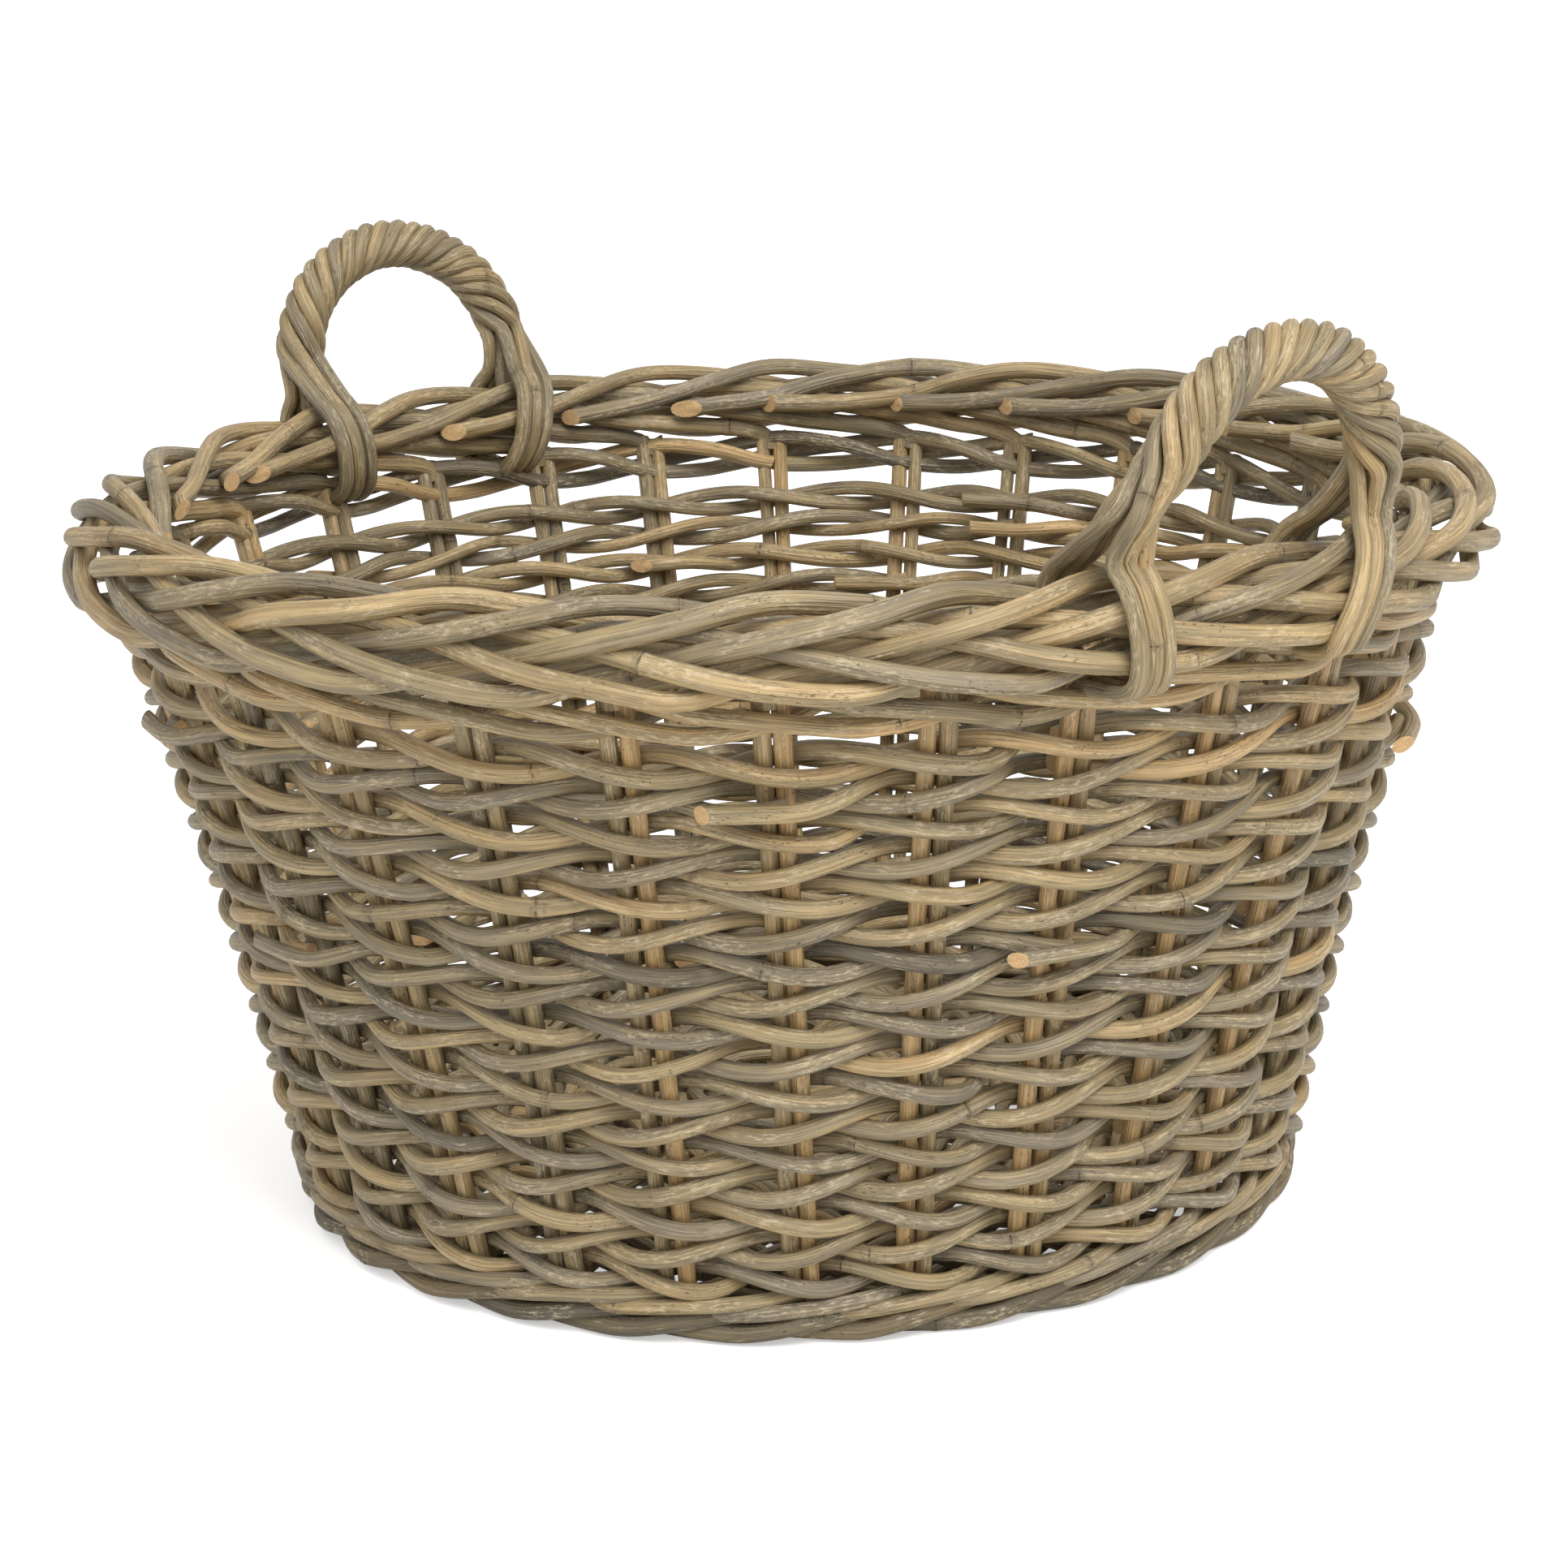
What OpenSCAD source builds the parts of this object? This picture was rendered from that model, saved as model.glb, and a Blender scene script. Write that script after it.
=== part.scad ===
// Round rattan laundry basket: a woven cane wall on pairs of stakes, a woven base,
// a foot border, a rolled top border and two rope-wrapped bow handles.
// Millimetres. The floor is z = 0, the basket's axis is Z and the handles lie on the X axis.

/* [Overall] */
// Diameter over the top border
rim_d = 640; // [540:1:770]
// Height from the floor to the top of the border
basket_h = 336; // [280:1:410]
// Diameter over the foot border
base_d = 464; // [380:1:560]

/* [Canes] */
// Diameter of the upright stakes and of the base sticks
stake_d = 7.5; // [5.5:0.1:9]
// Thickness of the canes woven into the wall and the base
weaver_d = 7; // [5:0.1:8.5]
// Thickness of the canes of the top border
border_cane_d = 8.6; // [7:0.1:10.4]
// Thickness of the canes of the foot border
foot_cane_d = 9; // [6:0.1:11]
// Clearance left between neighbouring canes
cane_gap = 0.4; // [0.2:0.05:0.6]

/* [Base] */
// Base sticks laid in each direction; each stick's two ends lead to two stake pairs
sticks_each_way = 7; // [5:1:8]
// Height of the foot border
foot_h = 14; // [10:0.5:20]
// Height of the middle of the base above the floor
base_z = 22; // [20:0.5:30]

/* [Handles] */
// Radius of the handle's bow, to the middle of the rope
bow_r = 62; // [50:1:75]
// Height of the bow's centre above the middle of the border
bow_up = 37; // [34:1:60]
// Outward lean of the handles in degrees
bow_lean = 12; // [0:1:20]
// Diameter of the core rod inside each handle
core_d = 9; // [7:0.1:12]
// Diameter of the six canes wound round each handle
strand_d = 6.4; // [5:0.1:7.7]
// Turns that each wound cane makes from one end of the bow to the other
strand_turns = 2.6; // [1.5:0.1:3]

/* [Hidden] */
weave_rows = 17;
base_rows = 10;
// Two-figure names, so that the rows sort in order from the floor or the centre
function row_name(stem, i) = str(stem, i < 9 ? "0" : "", i + 1);

$fn = 48;
pairs = 4 * sticks_each_way;
pair_angle = 360 / pairs;
// Every weaver passes in front of one pair and behind the next
waves = pairs / 2;
// Share of a wave, in degrees each side of its peak, over which it stays flat
wave_hold = 30;
foot_wave_hold = 45;
strands = 6;
tube_sides = 6;

stake_r = stake_d / 2;
weaver_r = weaver_d / 2;
border_r = border_cane_d / 2;
strand_r = strand_d / 2;
core_r = core_d / 2;

// One border cane's path from the top of its stake, as [pairs passed, out, up].
// Out and up are in border widths (one cane and its room) from the border's middle.
border_unit = border_cane_d + cane_gap;
border_path = [
    [0, 0, -3.1], [0.02, 0, -2.7], [0.25, -0.25, -2.25], [0.5, -0.55, -1.65],
    [1, -0.9, -0.55], [1.5, -0.55, 0.2], [2, 0.2, 0.45], [2.5, 0.8, -0.1],
    [3, 1, -1.1], [3.5, 1.2, -2.1], [4, 2, -2.1], [4.5, 2.2, -0.9],
    [5, 1.55, 0.8], [5.5, 0.35, 1.9], [6, -1, 1.9], [6.5, -2, 1.1]
];
border_z = basket_h - 1.9 * border_unit - border_r;
border_ring_r = rim_d / 2 - 2.2 * border_unit - border_r;
stake_top_z = border_z - 3.1 * border_unit;

// Outline of the border that one cane of a handle's foot follows, down the outside, under it
// and up the inside, as [out, up, share of the way from the bow to the foot]
foot_path = [
    [1.15, 2.85, 0], [1.65, 2.15, 0.1], [2.3, 1.05, 0.35], [2.7, -0.2, 0.6], [2.75, -1.25, 0.8],
    [2.4, -2.4, 1], [1.25, -3.1, 1], [0, -3.1, 1], [-1.1, -3.1, 1], [-1.95, -2.4, 1],
    [-2.45, -1.15, 0.8], [-2.5, 0.2, 0.6], [-2.5, 1.4, 0.35], [-1.7, 2.45, 0.15],
    [-0.6, 2.8, 0.05], [0.2, 2.95, 0]
];
foot_under_z = stake_top_z - strand_r - cane_gap;
strand_pitch = strand_d + cane_gap;
// The three canes of a foot slant, so they are laid a little further apart
foot_pitch = 1.05 * strand_pitch;
bow_end_up = 3.3 * border_unit + 0.8 * strand_d;

// The wall is a cone. wall_r(z) is the circle of the stakes' axes at height z.
foot_wave = 3.2;
wall_base_r = base_d / 2 - foot_wave - foot_cane_d / 2 - 4;
wall_slope = (border_ring_r - wall_base_r) / border_z;
wall_tilt = atan(wall_slope);
function wall_r(z) = wall_base_r + wall_slope * z;

wale_low_z = foot_h + cane_gap + weaver_r;
wale_top_z = foot_under_z - strand_r - cane_gap - weaver_r;
rows_from = wale_low_z + weaver_r + cane_gap;
rows_to = wale_top_z - weaver_r - cane_gap;
row_pitch = (rows_to - rows_from) / weave_rows;
weaver_h = row_pitch / 2 - cane_gap;
// How far a weaver's middle swings in and out of the circle of stakes
weave_swing = stake_r / cos(wall_tilt) + weaver_r + weaver_h / 2 * wall_slope + cane_gap;
wale_offset = (stake_r + weaver_r + cane_gap) / cos(wall_tilt);
pair_offset = stake_r + cane_gap / 2;
// The handles' feet go under the border close beside the next stake pair
foot_spread = wall_r(foot_under_z) * sin(pair_angle) - pair_offset - stake_r - 1.5 * foot_pitch;

// The base sticks cross in the middle and fan out to one level at the edge.
stick_pitch = stake_d + cane_gap;
cross_half = sticks_each_way / 2 * stick_pitch + stake_d;
base_r = wall_r(wale_low_z) - wale_offset - weaver_r - cane_gap;
base_row_from = cross_half + 2 * weaver_d;
base_row_pitch = (base_r - weaver_d - base_row_from) / (base_rows - 1);
stick_level = stick_pitch / 2;
// Height of a stick's axis off the base's middle plane at distance r from the centre
function stick_lift(r) = stick_level * (1 - max(0, r - cross_half) / (base_r - cross_half));

// Wavy circle: each wave is flat at its outer and inner peaks and straight between them
function ring_outline(r, swing, count, turn, hold) = [
    for (i = [0 : count - 1])
        for (corner = [[-hold, 1], [hold, 1], [180 - hold, -1], [180 + hold, -1]])
            let (a = (360 * i + turn + corner[0]) / count, w = r + swing * corner[1])
                [w * cos(a), w * sin(a)]
];

// Closed cane of height h that weaves in and out of a circle
module woven_ring(r, swing, count, turn, hold, thick, h, z) {
    translate([0, 0, z])
        linear_extrude(height = h)
            difference() {
                polygon(ring_outline(r + thick / 2, swing, count, turn, hold));
                polygon(ring_outline(r - thick / 2, swing, count, turn, hold));
            }
}

module round_ring(r, z, d) {
    translate([0, 0, z])
        rotate_extrude()
            translate([r, 0])
                circle(d = d);
}

module rod(from, to, d) {
    way = to - from;
    translate(from)
        rotate([0, acos(way.z / norm(way)), atan2(way.y, way.x)])
            cylinder(d = d, h = norm(way));
}

function unit(v) = v / norm(v);

// Direction of a path at point i
function path_way(path, i) =
    unit(path[min(i + 1, len(path) - 1)] - path[max(i - 1, 0)]);

// Ring of corners round point i, turned so that it starts near the direction given
function tube_ring(path, i, side, r) =
    let (
        way = path_way(path, i),
        across = unit(cross(way, side)),
        up = cross(across, way)
    )
    [for (k = [0 : tube_sides - 1])
        let (a = k * 360 / tube_sides) path[i] + r * (cos(a) * up + sin(a) * across)];

// Cane of radius r along a path; sides holds one sideways direction for each point
module cane(path, sides, r) {
    last = len(path) - 1;
    corners = [for (i = [0 : last]) each tube_ring(path, i, sides[i], r)];
    walls = [
        for (i = [0 : last - 1])
            for (k = [0 : tube_sides - 1])
                let (
                    a = i * tube_sides + k,
                    b = i * tube_sides + (k + 1) % tube_sides,
                    c = b + tube_sides,
                    d = a + tube_sides
                )
                each [[a, b, c], [a, c, d]]
    ];
    start = [for (k = [tube_sides - 1 : -1 : 0]) k];
    finish = [for (k = [0 : tube_sides - 1]) last * tube_sides + k];
    polyhedron(points = corners, faces = concat(walls, [start, finish]));
}

// --- Foot -------------------------------------------------------------------

foot_ring_r = wall_base_r + 4;

module foot_border_lower() {
    color("#6f6353")
        woven_ring(foot_ring_r, foot_wave, pairs, 0, foot_wave_hold, foot_cane_d,
            foot_h / 2 - cane_gap, 0);
}

module foot_border_upper() {
    color("#7a6d5b")
        woven_ring(foot_ring_r, foot_wave, pairs, 180, foot_wave_hold, foot_cane_d,
            foot_h / 2 - cane_gap, foot_h / 2);
}

// --- Base -------------------------------------------------------------------

// Stick number j from the middle: straight through the cross, then fanned to its stake pair
module base_stick(j, level) {
    fan = j * pair_angle;
    inner = [cross_half, j * stick_pitch, base_z + level];
    outer = [base_r * cos(fan), base_r * sin(fan), base_z];
    path = [[-outer.x, outer.y, outer.z], [-inner.x, inner.y, inner.z], inner, outer];
    cane(path, [for (p = path) [0, 0, 1]], stake_r);
}

stick_numbers = [for (j = [0 : sticks_each_way - 1]) j - (sticks_each_way - 1) / 2];

module base_sticks_across() {
    color("#a98d62")
        for (j = stick_numbers)
            base_stick(j, -stick_level);
}

module base_sticks_along() {
    color("#a98d62")
        rotate([0, 0, 90])
            for (j = stick_numbers)
                base_stick(j, stick_level);
}

// One row of the base weave: a cane above the sticks and a cane below them
module base_weave(i) {
    r = base_row_from + i * base_row_pitch;
    off = stick_lift(r - weaver_r) + stake_r + weaver_r + cane_gap;
    color("#9c8867") {
        round_ring(r, base_z + off, weaver_d);
        round_ring(r, base_z - off, weaver_d);
    }
}

// --- Wall -------------------------------------------------------------------

module wale(z) {
    round_ring(wall_r(z) + wale_offset, z, weaver_d);
    round_ring(wall_r(z) - wale_offset, z, weaver_d);
}

module bottom_wale() {
    color("#8a7b63")
        wale(wale_low_z);
}

module top_wale() {
    color("#a08a63")
        wale(wale_top_z);
}

// A ring of stakes, each moved sideways from the middle of its pair
module stakes(side) {
    low = foot_h + cane_gap + stake_r * sin(wall_tilt);
    high = stake_top_z - cane_gap - stake_r * sin(wall_tilt);
    for (k = [0 : pairs - 1])
        rotate([0, 0, k * pair_angle])
            rod([wall_r(low), side, low], [wall_r(high), side, high], stake_d);
}

module main_stakes() {
    color("#b08f5d")
        stakes(-pair_offset);
}

module bye_stakes() {
    color("#9a8664")
        stakes(pair_offset);
}

// One row of twining: two canes that swap sides between stake pairs
module weave_row(i) {
    z = rows_from + i * row_pitch + cane_gap / 2;
    first = i % 2 == 0 ? 0 : 180;
    color(i % 3 == 0 ? "#a28b60" : i % 3 == 1 ? "#8f8468" : "#b0935f")
        for (layer = [0, 1]) {
            low = z + layer * row_pitch / 2;
            woven_ring(wall_r(low + weaver_h / 2), weave_swing, waves, first + layer * 180,
                wave_hold, weaver_d, weaver_h, low);
        }
}

// --- Top border -------------------------------------------------------------

module border_cane(k) {
    angles = [for (p = border_path) (k + p[0]) * pair_angle];
    path = [for (i = [0 : len(border_path) - 1])
        let (
            p = border_path[i],
            // The cane's start stands on its stake, which leans with the wall
            lean = p[0] < 0.5 ? wall_slope * p[2] : 0,
            r = border_ring_r + (p[1] + lean) * border_unit
        )
            [r * cos(angles[i]), r * sin(angles[i]), border_z + p[2] * border_unit]];
    cane(path, [for (a = angles) [cos(a), sin(a), 0]], border_r);
}

module border_canes() {
    color("#b39765")
        for (k = [0 : pairs - 1])
            border_cane(k);
}

// --- Handles ----------------------------------------------------------------

bow_start = -asin((bow_up - bow_end_up) / bow_r);
bow_span = 180 - 2 * bow_start;
// Length of one turn of a wound cane on the inside of the bow, where the turns are closest
turn_length = (bow_r - core_r - strand_d) * bow_span * PI / 180 / strand_turns;
// Share of that turn which the canes fill when they lie straight side by side
turn_fill = min(0.95, strands * strand_pitch / turn_length);
// The wound canes lie on the core, or further out where their slant needs more room
helix_r = max(core_r + strand_r + cane_gap,
    strands * strand_pitch / (2 * PI) / sqrt(1 - turn_fill * turn_fill));
strand_points = 27;

// Point on the bow's centre line at angle a from the horizontal, and its two side directions
function bow_point(a) =
    let (h = bow_up + bow_r * sin(a))
        [border_ring_r + h * sin(bow_lean), bow_r * cos(a), border_z + h * cos(bow_lean)];
function bow_out(a) = [sin(a) * sin(bow_lean), cos(a), sin(a) * cos(bow_lean)];
bow_across = [cos(bow_lean), 0, -sin(bow_lean)];

module handle_core() {
    translate([border_ring_r, 0, border_z])
        rotate([0, bow_lean, 0])
            translate([0, 0, bow_up])
                rotate([90, 0, 90])
                    rotate([0, 0, bow_start])
                        rotate_extrude(angle = bow_span)
                            translate([bow_r, 0])
                                circle(d = core_d);
}

module handle_wrap() {
    bend = [for (i = [0 : strand_points - 1]) bow_start + bow_span * i / (strand_points - 1)];
    for (s = [0 : strands - 1]) {
        sides = [for (i = [0 : strand_points - 1])
            let (turn = 360 * (s / strands + strand_turns * i / (strand_points - 1)))
                cos(turn) * bow_out(bend[i]) + sin(turn) * bow_across];
        path = [for (i = [0 : strand_points - 1]) bow_point(bend[i]) + helix_r * sides[i]];
        cane(path, sides, strand_r);
    }
}

// A point of the border's outline, moved out so that a wound cane lies on it
function on_border(p) =
    let (v = [p[0], p[1]] * border_unit) v * (1 + (strand_r + cane_gap) / norm(v));

// Three canes side by side that go down outside the border, under it and up inside,
// at each end of the bow
module handle_feet() {
    bow_end = bow_r * cos(bow_start);
    lowest = min([for (p = foot_path) p[1]]);
    for (end = [-1, 1])
        for (side = [-1, 0, 1]) {
            path = [for (p = foot_path)
                let (
                    v = on_border(p),
                    y = end * (bow_end + (foot_spread - bow_end) * p[2]) + side * foot_pitch,
                    r = border_ring_r + v.x
                )
                [sqrt(r * r - foot_spread * foot_spread), y,
                    p[1] == lowest ? foot_under_z : border_z + v.y]];
            cane(path, [for (p = path) [0, 1, 0]], strand_r);
        }
}

module opposite() {
    rotate([0, 0, 180])
        children();
}

module handle_core_left() {
    color("#8d7a58")
        opposite()
            handle_core();
}

module handle_core_right() {
    color("#8d7a58")
        handle_core();
}

module handle_wrap_left() {
    color("#b8975f")
        opposite()
            handle_wrap();
}

module handle_wrap_right() {
    color("#b8975f")
        handle_wrap();
}

module handle_feet_left() {
    color("#ad9060")
        opposite()
            handle_feet();
}

module handle_feet_right() {
    color("#ad9060")
        handle_feet();
}

// --- Pieces -----------------------------------------------------------------

foot_border_lower();
foot_border_upper();
base_sticks_across();
base_sticks_along();
for (i = [0 : base_rows - 1])
    base_weave(i);
bottom_wale();
main_stakes();
bye_stakes();
for (i = [0 : weave_rows - 1])
    weave_row(i);
top_wale();
border_canes();
handle_core_left();
handle_core_right();
handle_wrap_left();
handle_wrap_right();
handle_feet_left();
handle_feet_right();
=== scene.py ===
import math
import random

import bpy
import numpy as np
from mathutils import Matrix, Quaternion, Vector


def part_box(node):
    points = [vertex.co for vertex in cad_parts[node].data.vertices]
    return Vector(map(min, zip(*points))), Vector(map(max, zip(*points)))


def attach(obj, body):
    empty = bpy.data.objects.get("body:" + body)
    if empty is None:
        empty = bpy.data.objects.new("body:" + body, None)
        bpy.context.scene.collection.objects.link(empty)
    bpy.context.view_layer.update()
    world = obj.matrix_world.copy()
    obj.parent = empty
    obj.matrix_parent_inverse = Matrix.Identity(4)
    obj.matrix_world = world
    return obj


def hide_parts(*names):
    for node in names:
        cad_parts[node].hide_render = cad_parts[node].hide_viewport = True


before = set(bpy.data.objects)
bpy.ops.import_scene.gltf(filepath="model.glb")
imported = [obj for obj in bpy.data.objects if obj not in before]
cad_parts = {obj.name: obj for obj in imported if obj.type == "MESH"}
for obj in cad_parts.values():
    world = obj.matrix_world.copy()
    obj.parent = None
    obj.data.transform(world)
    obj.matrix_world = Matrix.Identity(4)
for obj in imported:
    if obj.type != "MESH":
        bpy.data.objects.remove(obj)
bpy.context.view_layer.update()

# Everything is in metres. MM turns a size written in millimetres into metres.
MM = 0.001
# Seeded, so that the basket comes out the same each time
draw = random.Random(28)

# --- Sizes ------------------------------------------------------------------

STAKE_PAIRS = 28
PAIR_TURN = 2 * math.pi / STAKE_PAIRS
STICKS_EACH_WAY = 7

STAKE_D = 7.6 * MM
WEAVER_D = 7.4 * MM
WALE_D = 7.0 * MM
BORDER_D = 9.0 * MM
FOOT_D = 8.8 * MM
BASE_WEAVER_D = 6.4 * MM
STRAND_D = 7.2 * MM
CORE_D = 9.0 * MM

# How far the weave's canes swing in and out of the circle of stakes, how far they climb
# between two stake pairs, and how much lower they lie in front of the stakes than behind them
WEAVE_SWING = 7.9 * MM
WEAVE_CLIMB = 3.8 * MM
FRONT_SAG = 2.4 * MM
# From the circle of stakes to the outside of the frame's weave, and from the foot's circle
# to the outside of the frame's foot
WEAVE_STANDS_OUT = 12.1 * MM
FOOT_STANDS_OUT = 7.7 * MM
# Radius of one of the frame's border canes
FRAME_BORDER_R = 4.3 * MM
# The wall is a little hollow halfway up
WALL_HOLLOW = 2.5 * MM
# From the middle of a stake pair to each of its two stakes
PAIR_OFFSET = 4.0 * MM
# One border cane and its room; the border's paths count in this width
BORDER_WIDTH = 9.0 * MM
# From the border's middle to its highest and its outermost cane
BORDER_RISE = 1.9 * BORDER_WIDTH
BORDER_REACH = 2.0 * BORDER_WIDTH


def middle_z(node):
    """Height of the middle of a frame node's box."""
    low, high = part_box(node)
    return (low.z + high.z) / 2


row_nodes = sorted(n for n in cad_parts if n.startswith("weave_row_"))
base_nodes = sorted(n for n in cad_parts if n.startswith("base_weave_"))

low_row_z = middle_z(row_nodes[0])
high_row_z = middle_z(row_nodes[-1])
low_row_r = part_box(row_nodes[0])[1].x - WEAVE_STANDS_OUT
high_row_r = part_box(row_nodes[-1])[1].x - WEAVE_STANDS_OUT
wall_slope = (high_row_r - low_row_r) / (high_row_z - low_row_z)

border_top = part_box("border_canes")[1]
border_z = border_top.z - BORDER_RISE - FRAME_BORDER_R
border_r = border_top.y - BORDER_REACH - FRAME_BORDER_R
stake_top_z = border_z - 3.1 * BORDER_WIDTH + 13 * MM
foot_top_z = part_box("foot_border_upper")[1].z
foot_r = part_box("foot_border_lower")[1].x - FOOT_STANDS_OUT
base_z = middle_z("base_weave_01")
base_edge_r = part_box("base_sticks_across")[1].x

# --- Unevenness of hand work ------------------------------------------------


def smooth(x):
    """0 below 0, 1 above 1, and a soft step between."""
    x = np.clip(x, 0, 1)
    return x * x * (3 - 2 * x)


def ring_of_chances(size):
    """One small random value for each stake pair round the basket."""
    return np.array([draw.uniform(-size, size) for _ in range(STAKE_PAIRS)])


def uneven(u, chances):
    """Smooth value at u stake spacings round a ring of chances."""
    k = np.floor(u).astype(int)
    share = smooth(u - k)
    n = len(chances)
    return chances[k % n] * (1 - share) + chances[(k + 1) % n] * share


foot_drift = ring_of_chances(0.06)
rim_drift = ring_of_chances(0.09)
# The stakes beside the right handle's feet stand aside for them
rim_drift[0] = -0.05
rim_drift[-1] = -0.16


def turn_at(u, z):
    """Angle round the basket at u stake spacings; the stakes stand and lean a little unevenly."""
    share = np.clip(z / border_z, 0, 1)
    return (u + uneven(u, foot_drift) * (1 - share) + uneven(u, rim_drift) * share) * PAIR_TURN


# How oval the basket is, and how three-sided
OVAL = 1.3 * MM
THREE_SIDED = 0.8 * MM
# Waves of the rows, as (size, waves round the basket, turn for each metre up, start)
ROW_WAVES = [(0.9 * MM, 3, 9, 1), (0.8 * MM, 5, -14, 0), (0.5 * MM, 11, 25, 0)]


def out_of_round(turn):
    """How far the wall stands out of a true circle."""
    return OVAL * np.sin(2 * turn) + THREE_SIDED * np.sin(3 * turn)


def row_wave(turn, z):
    """Rise and fall that neighbouring rows share."""
    return sum(
        size * np.sin(waves * turn + climb * z + start) for size, waves, climb, start in ROW_WAVES
    )


def wall_r(z):
    """Radius of the circle of stakes at height z."""
    share = np.clip((z - low_row_z) / (high_row_z - low_row_z), 0, 1)
    return low_row_r + wall_slope * (z - low_row_z) - WALL_HOLLOW * np.sin(math.pi * share)


def round_basket(turn, r, z):
    """Points at angle turn, radius r and height z."""
    return np.stack([r * np.cos(turn), r * np.sin(turn), z + 0 * turn], axis=-1)


def on_wall(u, out, z):
    """Points that stand out from the circle of stakes at height z."""
    turn = turn_at(u, z)
    return round_basket(turn, wall_r(z) + out + out_of_round(turn), z)


def smooth_path(points, steps=10):
    """Dense points on a smooth curve through the points given."""
    p = np.asarray(points, float)
    p = np.concatenate([[2 * p[0] - p[1]], p, [2 * p[-1] - p[-2]]])
    knots = np.concatenate([[0], np.cumsum(np.linalg.norm(np.diff(p, axis=0), axis=1) ** 0.5)])
    dense = []
    for i in range(1, len(p) - 2):
        t0, t1, t2, t3 = knots[i - 1 : i + 3]
        t = np.linspace(t1, t2, steps, endpoint=False)[:, None]
        a = ((t1 - t) * p[i - 1] + (t - t0) * p[i]) / (t1 - t0)
        b = ((t2 - t) * p[i] + (t - t1) * p[i + 1]) / (t2 - t1)
        c = ((t3 - t) * p[i + 1] + (t - t2) * p[i + 2]) / (t3 - t2)
        d = ((t2 - t) * a + (t - t0) * b) / (t2 - t0)
        e = ((t3 - t) * b + (t - t1) * c) / (t3 - t1)
        dense.append(((t2 - t) * d + (t - t1) * e) / (t2 - t1))
    return np.concatenate(dense + [[p[-2]]])


# --- Canes ------------------------------------------------------------------

# Families of cane: share of the bundle, lowest and highest warmth, lowest and highest lightness
CANE_KINDS = [
    (0.36, (0.05, 0.34), (0.84, 1.0)),
    (0.46, (0.36, 0.62), (0.88, 1.04)),
    (0.13, (0.65, 0.92), (0.92, 1.06)),
    (0.05, (0.00, 0.12), (0.56, 0.74)),
]
# Shortest and longest way from knot to knot, and the shortest from a knot to the cane's end
KNOT_GAP = (0.2, 0.38)
KNOT_FROM_END = 0.02
# Rings of the mesh close to a knot, and the room they take from the other rings
KNOT_RINGS = np.array([-5.0, -2.0, -0.7, 0.0, 0.7, 2.0, 5.0]) * MM
KNOT_ROOM = 6.5 * MM
CUT_ROOM = 1.5 * MM
# How much a knot swells, as a share of the radius, and how far along the cane
KNOT_SWELL = 0.075
KNOT_LENGTH = 2.1 * MM
# The distance to the nearest knot is counted no further than this
KNOT_FAR = 0.05
# Slow waves of thickness, as (share of the radius, way along the cane for a radian of the wave)
SWELLS = [(0.022, 0.043), (0.016, 0.017)]
# A cane's outline is a little oval and three-sided, as shares of the radius. The oval turns
# by a radian in OUTLINE_TURN along the cane.
OUTLINE_OVAL = 0.045
OUTLINE_THREE_SIDED = 0.018
OUTLINE_TURN = 0.21


def pick_shade(warmer=0.0):
    """Warmth, lightness and a number of its own for one cane."""
    chance = draw.random()
    for share, warmth, light in CANE_KINDS:
        if chance < share:
            break
        chance -= share
    return (
        min(1.0, max(0.0, draw.uniform(*warmth) + warmer)),
        draw.uniform(*light),
        draw.random(),
    )


class Bundle:
    """The canes of one piece of the basket, gathered for one mesh."""

    def __init__(self):
        self.points = []
        self.shades = []
        self.knots = []
        self.faces = []
        self.face_uvs = []
        self.face_ends = []
        self.count = 0

    def add_points(self, points, shade, knots):
        """Adds points of one shade, and says the number of the first."""
        first = self.count
        self.points.append(points)
        self.shades.append(np.tile(shade, (len(points), 1)))
        self.knots.append(knots)
        self.count += len(points)
        return first


def ring_places(length, knots, gap, cuts):
    """Distances along a cane at which its mesh has a ring."""
    places = np.linspace(0, length, max(3, round(length / gap)) + 1)
    inner = places[(places > cuts[0] + CUT_ROOM) & (places < length - cuts[1] - CUT_ROOM)]
    for knot in knots:
        inner = inner[np.abs(inner - knot) > KNOT_ROOM]
    near = [knot + KNOT_RINGS for knot in knots]
    return np.sort(np.concatenate([[0], inner, *near, [length]]))


def turning_sides(path):
    """Way along the path at each point, and two sides carried along it without twist."""
    way = np.gradient(path, axis=0)
    way /= np.linalg.norm(way, axis=1)[:, None]
    side = np.empty_like(way)
    start = np.cross(way[0], (0.0, 0.0, 1.0))
    if np.linalg.norm(start) < 0.2:
        start = np.cross(way[0], (0.0, 1.0, 0.0))
    side[0] = start / np.linalg.norm(start)
    for i in range(1, len(way)):
        s = side[i - 1] - way[i] * (side[i - 1] @ way[i])
        side[i] = s / np.linalg.norm(s)
    return way, side, np.cross(way, side)


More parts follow.
